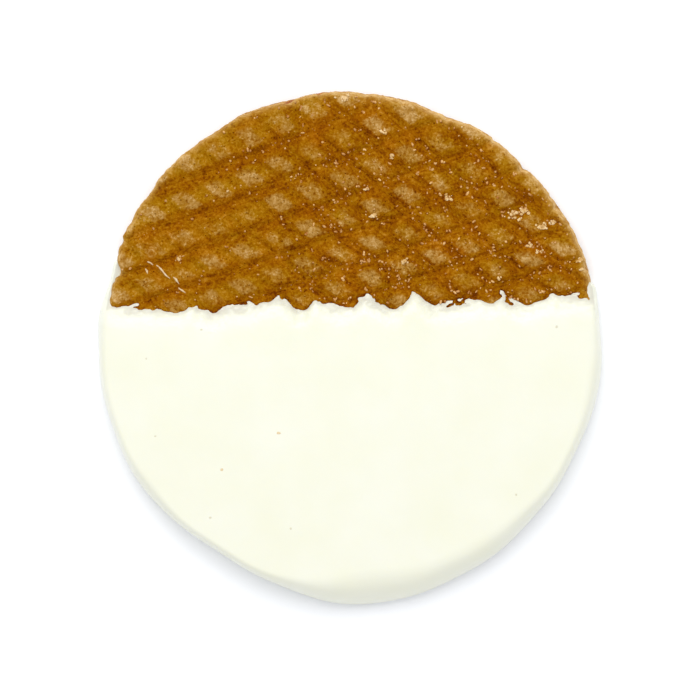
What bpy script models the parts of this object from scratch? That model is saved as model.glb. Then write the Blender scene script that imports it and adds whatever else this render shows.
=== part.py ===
# A stroopwafel: two thin baked wafers with a caramel syrup layer, one end dipped in white chocolate.
# Lengths are metres and angles are degrees. +Z is up, and the dipped end points to -Y.

import math
import random

import bmesh
import bpy
from mathutils import Matrix, Vector

# Wafers
WAFER_RADIUS = 0.0498
WAFER_THICKNESS = 0.0026
WAFER_CUT_DRAFT = 0.0004
WAFER_UNEVEN = 0.00012
WAFER_SLIP = Vector((0.00015, 0.00015))  # the lower wafer goes this way, and the upper one the other way

# The iron's grid: two families of grooves around raised, flat-topped pillows.
# A family is (direction, spacing, where it starts, how much its spacing grows towards +Y).
GROOVE_DEPTH = 0.0007
GROOVE_SHOULDER = 0.0013
STEEP_GROOVES = (-37.5, 0.00558, -0.276, 263.0)
LEVEL_GROOVES = (17.0, 0.00599, 0.255, 471.0)
PILLOW_UNEVEN = 0.00012
GRID_CELLS = 22
UPPER_SEED = 4
LOWER_SEED = 9

# Syrup
SYRUP_THICKNESS = 0.0014
SYRUP_INSET = 0.0010
SYRUP_BULGE = 0.0003

# White chocolate
COAT_TOP = 0.0009
COAT_WALL = 0.0004
COAT_UNDER = 0.0007
FOOT_HEIGHT = 0.0009
FOOT_BLEND_HEIGHT = 0.0052
FOOT_FLARE = 0.0001

# The dip line, from the wafer's middle towards +Y, and how far the chocolate climbs along the rim beyond it
DIP_LINE = 0.0078
DIP_TILT = 0.017
DIP_SCALLOP = 0.0028
DIP_REACH = 0.0546
LEFT_CLIMB = (-0.0438, -0.0464, 0.0112)
RIGHT_CLIMB = (0.0458, 0.0484, 0.0036)
CLIMB_ON_TOP = 0.12

GAP = 0.0003  # between pieces that touch
HOLLOW_WIDER = WAFER_SLIP.length + GAP
CUT_OVERLAP = 0.0008
NO_SHIFT = Vector((0.0, 0.0))

RIM_SEGMENTS = 96
DIP_SEGMENTS = 70

# Soft lobes on an outline: (direction, half width, reach)
WAFER_LOBES = (
    (2, 5, -0.0006),
    (22, 8, 0.0005),
    (66, 5, -0.0007),
    (88, 7, 0.0003),
    (116, 11, 0.0005),
    (142, 7, 0.0005),
    (168, 6, -0.0011),
    (188, 10, -0.0004),
    (231, 11, -0.0008),
    (320, 6, -0.0003),
)
SYRUP_LOBES = (
    (12, 6, 0.0004),
    (48, 9, -0.0005),
    (97, 5, 0.0005),
    (140, 8, -0.0004),
)
FOOT_LOBES = (
    (162, 6, -0.0005),
    (174, 4, 0.0005),
    (216, 5, 0.0004),
    (273, 10, 0.0019),
    (297, 16, 0.0015),
    (350, 8, 0.0005),
)

# Heights, from the foot up
LOWER_BASE = COAT_UNDER + GAP
LOWER_TOP = LOWER_BASE + WAFER_THICKNESS
SYRUP_BASE = LOWER_TOP + GAP
SYRUP_TOP = SYRUP_BASE + SYRUP_THICKNESS
UPPER_BASE = SYRUP_TOP + GAP
UPPER_TOP = UPPER_BASE + WAFER_THICKNESS
COAT_CROWN = UPPER_TOP + GAP + COAT_TOP

# The coat from the foot to the crown: (height, how far it draws in from its outline)
COAT_PROFILE = (
    (0.0, 0.0005),
    (0.0004, 0.0),
    (FOOT_HEIGHT, 0.0),
    (0.0018, 0.0),
    (0.0030, 0.0),
    (COAT_CROWN - 0.0017, 0.0),
    (COAT_CROWN - 0.0007, 0.0004),
    (COAT_CROWN - 0.0002, 0.0011),
    (COAT_CROWN, 0.0024),
)

for item in list(bpy.data.objects):
    bpy.data.objects.remove(item, do_unlink=True)


def newCollection(name):
    made = bpy.data.collections.new(name)
    bpy.context.scene.collection.children.link(made)
    return made


partCollection = newCollection("stroopwafel")
cutterCollection = newCollection("cutters")


def newMaterial(name, colour, roughness):
    made = bpy.data.materials.new(name)
    made.use_nodes = True
    shader = made.node_tree.nodes["Principled BSDF"]
    shader.inputs["Base Color"].default_value = (*colour, 1.0)
    shader.inputs["Roughness"].default_value = roughness
    shader.inputs["Metallic"].default_value = 0.0
    return made


def newObject(name, bm, collection, material=None):
    """Puts a finished body over the origin, as an object with its transform left at rest."""
    bmesh.ops.translate(bm, verts=bm.verts[:], vec=-groundPlace())
    bmesh.ops.recalc_face_normals(bm, faces=bm.faces[:])
    mesh = bpy.data.meshes.new(name)
    bm.to_mesh(mesh)
    bm.free()
    if material:
        mesh.materials.append(material)
    made = bpy.data.objects.new(name, mesh)
    collection.objects.link(made)
    if collection is cutterCollection:
        made.hide_render = True
        made.display_type = "WIRE"
    return made


def addBoolean(target, cutter, operation):
    modifier = target.modifiers.new(operation.lower(), "BOOLEAN")
    modifier.object = cutter
    modifier.operation = operation
    modifier.solver = "EXACT"


def smoothStep(low, high, value):
    share = min(max((value - low) / (high - low), 0.0), 1.0)
    return share * share * (3.0 - 2.0 * share)


def lobeSum(angle, lobes):
    """The reach of all the lobes in one direction."""
    total = 0.0
    for centre, halfWidth, reach in lobes:
        away = (angle - centre + 180.0) % 360.0 - 180.0
        total += reach * math.exp(-0.5 * (away / halfWidth) ** 2)
    return total


def waferReach(angle):
    """The wafer's radius: round, with the lobes and a fine uneven cut."""
    turn = math.radians(angle)
    uneven = math.sin(7 * turn + 0.4) + math.sin(11 * turn + 2.1) + 0.8 * math.sin(19 * turn + 1.3)
    return WAFER_RADIUS + lobeSum(angle, WAFER_LOBES) + WAFER_UNEVEN * uneven


def coatReach(angle, height):
    """The coat's outer radius: its wall, which spreads into the foot that ran out below."""
    wall = waferReach(angle) + WAFER_SLIP.length + GAP + COAT_WALL
    spread = (1.0 - smoothStep(FOOT_HEIGHT, FOOT_BLEND_HEIGHT, height)) ** 2
    return wall + (FOOT_FLARE + lobeSum(angle, FOOT_LOBES)) * spread


def ringPoints(reachAt, height, shift=NO_SHIFT):
    points = []
    for step in range(RIM_SEGMENTS):
        angle = 360.0 * step / RIM_SEGMENTS
        turn = math.radians(angle)
        reach = reachAt(angle)
        points.append(Vector((reach * math.cos(turn) + shift.x, reach * math.sin(turn) + shift.y, height)))
    return points


def groundPlace():
    """The middle of the whole outline on the ground."""
    foot = ringPoints(lambda angle: coatReach(angle, 0.0), 0.0)
    reach = [point for point in foot if point.y < DIP_LINE]
    reach += ringPoints(waferReach, 0.0, WAFER_SLIP) + ringPoints(waferReach, 0.0, -WAFER_SLIP)
    low = Vector((min(point.x for point in reach), min(point.y for point in reach), 0.0))
    high = Vector((max(point.x for point in reach), max(point.y for point in reach), 0.0))
    return (low + high) / 2


def loft(rings):
    """A closed body through rings of equally many points."""
    bm = bmesh.new()
    loops = []
    for ring in rings:
        points = [bm.verts.new(point) for point in ring]
        loops.append([bm.edges.new((points[i - 1], points[i])) for i in range(len(points))])
    for lower, upper in zip(loops, loops[1:]):
        bmesh.ops.bridge_loops(bm, edges=lower + upper)
    for end in (loops[0], loops[-1]):
        bmesh.ops.contextual_create(bm, geom=end)
    return bm


def grooveCount(x, y, family):
    """How far a place lies across a family of grooves: a whole number in a pillow's middle."""
    direction, spacing, start, growth = family
    turn = math.radians(direction)
    return start + (y * math.cos(turn) - x * math.sin(turn)) / spacing - growth * max(y, 0.0) ** 2


def gridPlace(steep, level):
    """The place with these two groove counts."""
    turns = [math.radians(family[0]) for family in (STEEP_GROOVES, LEVEL_GROOVES)]
    rows = [
        (-math.sin(turn) / family[1], math.cos(turn) / family[1])
        for turn, family in zip(turns, (STEEP_GROOVES, LEVEL_GROOVES))
    ]
    back = Matrix(rows).inverted()
    place = Vector((0.0, 0.0))
    for _ in range(20):
        miss = Vector((steep, level)) - Vector(
            (grooveCount(*place, STEEP_GROOVES), grooveCount(*place, LEVEL_GROOVES))
        )
        place += back @ miss
    return place


def pillowShare(x, y):
    """1 in the middle of a pillow and 0 along a groove."""
    steep = math.cos(math.tau * grooveCount(x, y, STEEP_GROOVES))
    level = math.cos(math.tau * grooveCount(x, y, LEVEL_GROOVES))
    return (0.5 + 0.5 * steep) * (0.5 + 0.5 * level)


def dipLine(x):
    """Where the chocolate ends on top, scalloped by the pillows."""
    return DIP_LINE + DIP_TILT * x + DIP_SCALLOP * (0.35 - pillowShare(x, DIP_LINE))


def rimClimb(x):
    """How much further the chocolate reaches along the wafers' rim, at both ends of the dip line."""
    climb = 0.0
    for start, end, reach in (LEFT_CLIMB, RIGHT_CLIMB):
        climb += reach * smoothStep(abs(start), abs(end), math.copysign(x, x * start))
    return climb


def pillowSlab(peak, flat, seed):
    """A slab wider than the wafer: pillows up to the height peak, and a plain face at the height flat."""
    outward = math.copysign(1.0, peak - flat)
    bm = bmesh.new()
    bmesh.ops.create_grid(bm, x_segments=GRID_CELLS, y_segments=GRID_CELLS, size=GRID_CELLS / 2)
    for vertex in bm.verts:
        place = gridPlace(vertex.co.x + 0.5, vertex.co.y + 0.5)
        vertex.co = (place.x, place.y, peak - outward * GROOVE_DEPTH)
    bm.normal_update()
    pillows = bm.faces[:]
    if pillows[0].normal.z * outward < 0:
        bmesh.ops.reverse_faces(bm, faces=pillows)
    bmesh.ops.inset_individual(
        bm, faces=pillows, thickness=GROOVE_SHOULDER, depth=GROOVE_DEPTH, use_even_offset=True
    )
    chance = random.Random(seed)
    for face in pillows:
        settle = outward * PILLOW_UNEVEN * chance.random()
        for vertex in face.verts:
            vertex.co.z -= settle
    border = [edge for edge in bm.edges if edge.is_boundary]
    made = bmesh.ops.extrude_edge_only(bm, edges=border)["geom"]
    for item in made:
        if isinstance(item, bmesh.types.BMVert):
            item.co.z = flat
    bmesh.ops.holes_fill(bm, edges=[edge for edge in bm.edges if edge.is_boundary])
    return bm


def outlinePrism(base, top, shift, wider, over):
    """The cut through a wafer, a little wider below than above, which goes on past it by over."""
    lower = ringPoints(lambda angle: waferReach(angle) + wider, base - over, shift)
    upper = ringPoints(lambda angle: waferReach(angle) + wider - WAFER_CUT_DRAFT, top + over, shift)
    return loft([lower, upper])


def newWafer(name, base, top, shift, pillowsUp, seed):
    peak, flat = (top, base) if pillowsUp else (base, top)
    wafer = newObject(name, pillowSlab(peak, flat, seed), partCollection, waferMaterial)
    cut = newObject(name + "_cut", outlinePrism(base, top, shift, 0.0, CUT_OVERLAP), cutterCollection)
    addBoolean(wafer, cut, "INTERSECT")
    return wafer


def newHollow():
    """The room inside the coat for the wafers and the gap around them, plain below."""
    room = outlinePrism(LOWER_BASE - GAP, SYRUP_TOP, NO_SHIFT, HOLLOW_WIDER, 0.0)
    return newObject("hollow", room, cutterCollection)


def newHollowAbove():
    """The upper part of that room. Its roof follows the pillows, so the chocolate fills the grooves."""
    roof = newObject("hollow_above", pillowSlab(UPPER_TOP + GAP, SYRUP_BASE, UPPER_SEED), cutterCollection)
    outline = outlinePrism(SYRUP_BASE, UPPER_TOP + GAP, NO_SHIFT, HOLLOW_WIDER, CUT_OVERLAP)
    addBoolean(roof, newObject("hollow_above_cut", outline, cutterCollection), "INTERSECT")
    return roof


def newSyrup():
    """A round layer, held back from the wafers' edge and swollen between them."""
    rings = []
    for share, swell in ((0.0, 0.0), (0.5, 1.0), (1.0, 0.0)):
        height = SYRUP_BASE + share * SYRUP_THICKNESS

        def reachAt(angle):
            return waferReach(angle) - SYRUP_INSET + SYRUP_BULGE * swell + lobeSum(angle, SYRUP_LOBES)

        rings.append(ringPoints(reachAt, height))
    return newObject("syrup", loft(rings), partCollection, syrupMaterial)


def newDipCutter():
    """Everything beyond the dip line. Its face leans back over the coat, which thins the coat's edge."""
    profile = (
        (-0.0036, COAT_CROWN + 0.0003, CLIMB_ON_TOP),
        (-0.0022, COAT_CROWN - 0.00018, CLIMB_ON_TOP),
        (0.0, UPPER_TOP + GAP + 0.00012, CLIMB_ON_TOP),
        (0.0, UPPER_TOP - 0.0010, CLIMB_ON_TOP),
        (0.0, UPPER_TOP - 0.0016, 1.0),
        (0.0, COAT_UNDER * 0.6, 1.0),
        (-0.0016, -0.0004, 1.0),
    )
    rings = []
    for step in range(DIP_SEGMENTS + 1):
        x = DIP_REACH * (2.0 * step / DIP_SEGMENTS - 1.0)
        ring = []
        for back, height, climb in profile:
            ring.append(Vector((x, dipLine(x) + back + climb * rimClimb(x), height)))
        ring.append(Vector((x, DIP_REACH * 1.3, profile[-1][1])))
        ring.append(Vector((x, DIP_REACH * 1.3, profile[0][1])))
        rings.append(ring)
    return newObject("dip_cut", loft(rings), cutterCollection)


def newCoat():
    """The chocolate around the dipped end: foot, wall, rounded shoulder and top."""
    rings = []
    for height, inset in COAT_PROFILE:
        rings.append(ringPoints(lambda angle: coatReach(angle, height) - inset, height))
    coat = newObject("white_chocolate", loft(rings), partCollection, chocolateMaterial)
    addBoolean(coat, newDipCutter(), "DIFFERENCE")
    addBoolean(coat, newHollowAbove(), "DIFFERENCE")
    addBoolean(coat, newHollow(), "DIFFERENCE")
    return coat


waferMaterial = newMaterial("wafer", (0.47, 0.24, 0.055), 0.7)
syrupMaterial = newMaterial("syrup", (0.30, 0.10, 0.015), 0.3)
chocolateMaterial = newMaterial("white_chocolate", (0.93, 0.90, 0.76), 0.3)

newWafer("wafer_lower", LOWER_BASE, LOWER_TOP, WAFER_SLIP, False, LOWER_SEED)
newSyrup()
newWafer("wafer_upper", UPPER_BASE, UPPER_TOP, -WAFER_SLIP, True, UPPER_SEED)
newCoat()
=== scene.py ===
import math

import bmesh
import bpy
import numpy as np
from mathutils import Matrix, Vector


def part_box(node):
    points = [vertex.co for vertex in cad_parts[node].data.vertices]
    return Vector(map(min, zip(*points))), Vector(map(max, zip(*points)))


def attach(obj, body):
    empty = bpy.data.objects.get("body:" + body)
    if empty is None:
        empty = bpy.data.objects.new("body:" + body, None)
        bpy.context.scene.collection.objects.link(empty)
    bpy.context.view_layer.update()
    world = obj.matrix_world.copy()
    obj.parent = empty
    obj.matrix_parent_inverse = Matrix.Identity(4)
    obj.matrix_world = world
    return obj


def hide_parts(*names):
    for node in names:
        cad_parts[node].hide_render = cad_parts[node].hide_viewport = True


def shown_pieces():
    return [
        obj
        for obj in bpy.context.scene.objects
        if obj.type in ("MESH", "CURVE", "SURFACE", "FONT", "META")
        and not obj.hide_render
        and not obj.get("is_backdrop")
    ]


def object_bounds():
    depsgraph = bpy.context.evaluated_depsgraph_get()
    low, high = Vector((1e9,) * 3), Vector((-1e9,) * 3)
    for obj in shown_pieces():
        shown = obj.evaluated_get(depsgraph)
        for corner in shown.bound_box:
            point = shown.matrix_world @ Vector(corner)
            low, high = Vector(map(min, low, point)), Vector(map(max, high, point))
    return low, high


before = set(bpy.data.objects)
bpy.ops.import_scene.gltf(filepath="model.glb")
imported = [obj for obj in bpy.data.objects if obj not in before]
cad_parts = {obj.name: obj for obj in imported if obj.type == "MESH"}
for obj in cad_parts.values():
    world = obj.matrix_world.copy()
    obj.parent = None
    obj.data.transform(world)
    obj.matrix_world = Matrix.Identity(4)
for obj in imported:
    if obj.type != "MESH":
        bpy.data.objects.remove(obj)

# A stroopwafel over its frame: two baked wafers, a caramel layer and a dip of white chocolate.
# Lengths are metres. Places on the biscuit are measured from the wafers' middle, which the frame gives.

cadLow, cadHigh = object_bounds()
print("frame loaded")

# Outline and grid, by the same rules as the solids. Angles are degrees, and a lobe is (angle, half width, reach).
outlineRule = {
    "radius": 0.0498,
    "uneven": 0.00012,
    "lobes": (
        (2, 5, -0.0006), (22, 8, 0.0005), (66, 5, -0.0007), (88, 7, 0.0003), (116, 11, 0.0005),
        (142, 7, 0.0005), (168, 6, -0.0011), (188, 10, -0.0004), (231, 11, -0.0008), (320, 6, -0.0003),
    ),
}
gridRule = {
    "steep": (-37.5, 0.00558, -0.276, 263.0),  # direction, spacing, start, growth towards +Y
    "level": (17.0, 0.00599, 0.255, 471.0),
    "depth": 0.0007,
}


def smoothStep(low, high, value):
    share = np.clip((value - low) / (high - low), 0.0, 1.0)
    return share * share * (3.0 - 2.0 * share)


def lobeSum(angle, lobes):
    total = np.zeros_like(angle)
    for centre, halfWidth, reach in lobes:
        away = (angle - centre + 180.0) % 360.0 - 180.0
        total = total + reach * np.exp(-0.5 * (away / halfWidth) ** 2)
    return total


def waferReach(angle):
    turn = np.radians(angle)
    uneven = np.sin(7 * turn + 0.4) + np.sin(11 * turn + 2.1) + 0.8 * np.sin(19 * turn + 1.3)
    return outlineRule["radius"] + lobeSum(angle, outlineRule["lobes"]) + outlineRule["uneven"] * uneven


def boxMiddle(low, high):
    return np.array(((low.x + high.x) / 2, (low.y + high.y) / 2))


def outlineMiddle():
    angle = np.arange(96) * 3.75
    reach = waferReach(angle)
    x, y = reach * np.cos(np.radians(angle)), reach * np.sin(np.radians(angle))
    return np.array(((x.min() + x.max()) / 2, (y.min() + y.max()) / 2))


# Where each wafer lies, and the heights that the frame gives
upperLow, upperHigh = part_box("wafer_upper")
lowerLow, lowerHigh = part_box("wafer_lower")
coatLow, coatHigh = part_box("white_chocolate")
upperMiddle = boxMiddle(upperLow, upperHigh) - outlineMiddle()
lowerMiddle = boxMiddle(lowerLow, lowerHigh) - outlineMiddle()
middle = (upperMiddle + lowerMiddle) / 2
slipLength = float(np.hypot(*(lowerMiddle - upperMiddle))) / 2
crownRise = coatHigh.z - upperHigh.z

# Seeded noise, the same in every run
chanceTables = {}


def chanceTable(seed):
    if seed not in chanceTables:
        chanceTables[seed] = np.random.default_rng(seed).random((256, 256))
    return chanceTables[seed]


def softNoise(x, y, size, seed):
    table = chanceTable(seed)
    u, v = x / size + 131.3, y / size + 127.7
    i, j = np.floor(u).astype(int), np.floor(v).astype(int)
    a, b = u - i, v - j
    a, b = a * a * (3 - 2 * a), b * b * (3 - 2 * b)
    near = table[i % 256, j % 256] * (1 - a) + table[(i + 1) % 256, j % 256] * a
    far = table[i % 256, (j + 1) % 256] * (1 - a) + table[(i + 1) % 256, (j + 1) % 256] * a
    return 2 * (near * (1 - b) + far * b) - 1


def layeredNoise(x, y, size, seed, layers=3):
    total, weight, whole = 0.0, 1.0, 0.0
    for layer in range(layers):
        total = total + weight * softNoise(x, y, size * 0.5 ** layer, seed + layer)
        whole += weight
        weight *= 0.6
    return total / whole


def bubbleDistance(x, y, size, seed):
    # distance to the nearest of one scattered point in each cell, in cells
    table, other = chanceTable(seed), chanceTable(seed + 1)
    u, v = x / size + 97.0, y / size + 91.0
    i, j = np.floor(u).astype(int), np.floor(v).astype(int)
    nearest = np.full_like(u, 9.0)
    for di in (-1, 0, 1):
        for dj in (-1, 0, 1):
            pointU = i + di + table[(i + di) % 256, (j + dj) % 256]
            pointV = j + dj + other[(i + di) % 256, (j + dj) % 256]
            nearest = np.minimum(nearest, np.hypot(u - pointU, v - pointV))
    return nearest


def angleOf(x, y):
    return np.degrees(np.arctan2(y, x)) % 360.0


# The level of the chocolate on top and below, which the wafers' darker edge band follows too: partly fat-wetted crust,
# partly painted shade where the wafer meets the chocolate
dipLook = {
    "line": 0.0068,
    "tilt": 0.020,
    "lobes": (  # place along X, half width, reach up the wafer
        (-0.0464, 0.0012, -0.0009), (-0.0412, 0.0020, 0.0005), (-0.0370, 0.0024, -0.0003),
        (-0.0319, 0.0008, 0.0009), (-0.0272, 0.0015, -0.0015), (-0.0212, 0.0015, -0.0001),
        (-0.0148, 0.0026, 0.0018), (-0.0098, 0.0014, -0.0014), (-0.0066, 0.0012, 0.0016),
        (-0.0018, 0.0013, -0.0005), (0.0035, 0.0013, 0.0014), (0.0086, 0.0013, -0.0010),
        (0.0131, 0.0014, 0.0022), (0.0176, 0.0022, -0.0008), (0.0225, 0.0014, 0.0001), (0.0264, 0.0010, 0.0010),
        (0.0304, 0.0009, 0.0013), (0.0351, 0.0015, -0.0009), (0.0406, 0.0010, 0.0009),
        (0.0455, 0.0016, 0.0009),
    ),
    "edgeStart": 0.00045,
    "fillLength": 0.0020,
    "edgeDrop": 0.0007,
    "edgeRagged": 0.00016,
    "leftClimb": (-0.0438, -0.0464, 0.0112),  # starts, is full, reach along the rim
    "rightClimb": (0.0458, 0.0484, 0.0036),
    "climbOnTop": 0.12,
}


def rimClimb(x):
    total = np.zeros_like(x)
    for start, full, reach in (dipLook["leftClimb"], dipLook["rightClimb"]):
        side = math.copysign(1.0, start)
        total = total + reach * smoothStep(abs(start), abs(full), x * side)
    return total


def belowDip(x, y, climbShare):
    # how far a place lies into the chocolate, from the dip line
    line = dipLook["line"] + dipLook["tilt"] * x + climbShare * rimClimb(x)
    for place, halfWidth, reach in dipLook["lobes"]:
        line = line + reach * np.exp(-0.5 * ((x - place) / halfWidth) ** 2)
    return line - y


def chocolateLevel(x, y):
    into = belowDip(x, y, dipLook["climbOnTop"])
    near = np.exp(-((into / 0.0025) ** 2))
    rise = crownRise * np.tanh((into - dipLook["edgeStart"]) / dipLook["fillLength"])
    drop = dipLook["edgeDrop"] * smoothStep(0.0024, 0.0040, -into)
    rough = layeredNoise(x, y, 0.0016, 61, 2) + 0.9 * softNoise(x, y, 0.00055, 64)
    return upperHigh.z + rise - drop + dipLook["edgeRagged"] * near * rough


# Wafers
waferLook = {
    "columns": 390,
    "bareRows": 182,
    "dippedRows": 46,
    "grooveWidth": 0.140,  # share of the grid's spacing
    "grooveWander": 0.055,
    "pillowCrown": 0.00012,
    "pillowSettle": 0.00014,
    "bumps": 0.00008,
    "poreSize": 0.0012,
    "poreDepth": 0.00010,
    "rimRagged": 0.00035,
    "rimNick": 0.00050,
    "notches": (  # angle, half width, depth
        (162.9, 1.1, 0.0013), (44.9, 0.6, 0.0005), (32.6, 0.6, 0.0005), (104.0, 0.7, 0.0004), (77.0, 0.8, 0.0004),
        (151.0, 0.7, 0.0004), (17.5, 0.8, 0.0005),
    ),
    "rimRise": 1.45,
    "rimRiseIn": 0.0016,
    "cutWidth": 0.00060,
    # the rim's pale crumb and its painted light fade in together; on the rim's side that faces the light, the extra
    # paleness is painted light
    "cutShade": 0.00038,  # how far in the pale crumb fades
    "paintedRimLight": ((30, 14, 0.20), (68, 22, 0.42), (131, 9, 0.30), (148, 9, 0.30)),  # angle, half width, more
    "cutRows": 5,
    "slantTo": 45.0,
}


def gridPlace(x, y, family, seed):
    # place across the nearest row of pillows, -0.5 to 0.5, and the row's number
    direction, spacing, start, growth = gridRule[family]
    turn = math.radians(direction)
    count = start + (y * math.cos(turn) - x * math.sin(turn)) / spacing - growth * np.maximum(y, 0.0) ** 2
    count = count + waferLook["grooveWander"] * layeredNoise(x, y, 0.011, seed, 2)
    row = np.round(count)
    return count - row, row.astype(int)


def riseFall(place, start, full, hold, end):
    # quick on a pillow's near side and slow on its far side
    return smoothStep(start, full, place) * (1.0 - smoothStep(hold, end, place))


def waferFace(x, y, seed):
    # the pressed face: how deep it lies below the pillows' tops, and what its colour follows
    steep, steepRow = gridPlace(x, y, "steep", seed)
    level, levelRow = gridPlace(x, y, "level", seed + 3)
    steepAway, levelAway = 0.5 - np.abs(steep), 0.5 - np.abs(level)
    width = waferLook["grooveWidth"] * (1.0 + 0.25 * softNoise(x, y, 0.006, seed + 6))
    steepShare = 0.86 + 0.14 * np.clip(x / 0.03, -1.0, 1.0)
    steepCut = np.exp(-((steepAway / width) ** 2)) * steepShare
    levelCut = np.exp(-((levelAway / width) ** 2))
    groove = 1.0 - (1.0 - steepCut) * (1.0 - levelCut)
    table = chanceTable(seed + 8)
    pillowChance = table[steepRow % 256, levelRow % 256]
    otherChance = table[(steepRow + 101) % 256, levelRow % 256]
    crown = ((1.0 - 2.0 * steepAway) ** 2 + (1.0 - 2.0 * levelAway) ** 2) / 2
    depth = gridRule["depth"] * groove * (0.86 + 0.22 * layeredNoise(x, y, 0.007, seed + 9, 2))
    depth = depth + waferLook["pillowCrown"] * crown + waferLook["pillowSettle"] * pillowChance * (1 - groove)
    bump = layeredNoise(x, y, 0.0016, seed + 10, 3)
    depth = depth + waferLook["bumps"] * (1.0 + bump * 1.2)
    # pores: shallow pits, which the crust's colour also darkens as painted shade in them
    bubble = bubbleDistance(x, y, waferLook["poreSize"], seed + 14)
    shadedPore = smoothStep(0.26, 0.10, bubble) * smoothStep(0.05, 0.5, layeredNoise(x, y, 0.0036, seed + 15, 2))
    depth = depth + waferLook["poreDepth"] * shadedPore
    # the pillows are lighter; towards +X the steep grooves are darker, and towards -X the level ones
    steepMore = 0.08 + 1.12 * smoothStep(-0.026, 0.000, x)
    levelMore = 0.84 + 0.30 * smoothStep(0.020, 0.034, y) * smoothStep(-0.012, -0.024, x)
    wisp = 0.035 * layeredNoise(x, y, 0.0015, seed + 17, 3)
    steepRise = 1.0 - (1.0 - riseFall(steep + wisp, -0.38, -0.14, 0.0, 0.46)) * steepMore
    levelRise = 1.0 - (1.0 - riseFall(level + wisp, -0.40, -0.15, 0.0, 0.46)) * levelMore
    rise = np.maximum(steepRise, -0.2) * np.maximum(levelRise, 0.0) * (0.88 + 0.20 * pillowChance)
    # a pale floury patch on each pillow
    pale = riseFall(steep - wisp, -0.35, -0.21, 0.08, 0.40) * riseFall(level - wisp, -0.37, -0.23, 0.08, 0.40)
    blotch = 0.80 + 0.7 * layeredNoise(x, y, 0.0019, seed + 23, 3)
    pale = pale * (0.45 + 0.55 * otherChance) * blotch
    rise, pale = np.clip(rise, -0.2, 1.0), np.clip(pale, 0.0, 1.0)
    # which way the streaks run: 1 along the steep grooves, 0 along the level ones
    lean = 0.5 + 0.5 * np.clip(2.0 * (steepCut - levelCut), -1.0, 1.0)
    return {"depth": depth, "groove": groove, "rise": rise, "pale": pale, "shadedPore": shadedPore, "lean": lean}


def discPlaces(columns, rows):
    # a square grid laid on a disc of radius 1; rows are shares from -1 to 1
    a, b = np.meshgrid(np.linspace(-1.0, 1.0, columns + 1), rows)
    return a * np.sqrt(1.0 - b * b / 2), b * np.sqrt(1.0 - a * a / 2)


def gridQuads(columns, rowCount, first=0):
    start = (np.arange(rowCount)[:, None] * (columns + 1) + np.arange(columns)[None, :]).ravel() + first
    return np.stack((start, start + 1, start + columns + 2, start + columns + 1), axis=1)


def gridBorder(columns, rowCount):
    wide = columns + 1
    bottom = np.arange(0, wide)
    right = np.arange(1, rowCount + 1) * wide + columns
    top = rowCount * wide + np.arange(columns - 1, -1, -1)
    left = np.arange(rowCount - 1, 0, -1) * wide
    return np.concatenate((bottom, right, top, left))


def ringQuads(lower, upper):
    nextLower, nextUpper = np.roll(lower, -1), np.roll(upper, -1)
    return np.stack((lower, nextLower, nextUpper, upper), axis=1)


def newMesh(name, places, faces, fields=None, flip=False):
    mesh = bpy.data.meshes.new(name)
    faceLists = [list(map(int, face[::-1] if flip else face)) for face in faces]
    mesh.from_pydata(places.tolist(), [], faceLists)
    for fieldName, values in (fields or {}).items():
        attribute = mesh.attributes.new(fieldName, "FLOAT", "POINT")
        attribute.data.foreach_set("value", np.asarray(values, np.float32))
    mesh.validate()
    mesh.update()
    made = bpy.data.objects.new(name, mesh)
    bpy.context.scene.collection.objects.link(made)
    return made


def insideFrame(places):
    # nothing stands outside the frame's own box
    return np.clip(places, np.array(cadLow) + 0.00001, np.array(cadHigh) - 0.00001)


def smoothFaces(target, sharpAngle=None):
    for face in target.data.polygons:
        face.use_smooth = True
    if sharpAngle:
        target.data.set_sharp_from_angle(angle=math.radians(sharpAngle))


def waferRows():
    split = 0.04
    bare = np.linspace(split, 1.0, waferLook["bareRows"] + 1)
    dipped = np.linspace(-1.0, split, waferLook["dippedRows"] + 1)[:-1]
    return np.concatenate((dipped, bare))


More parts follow.
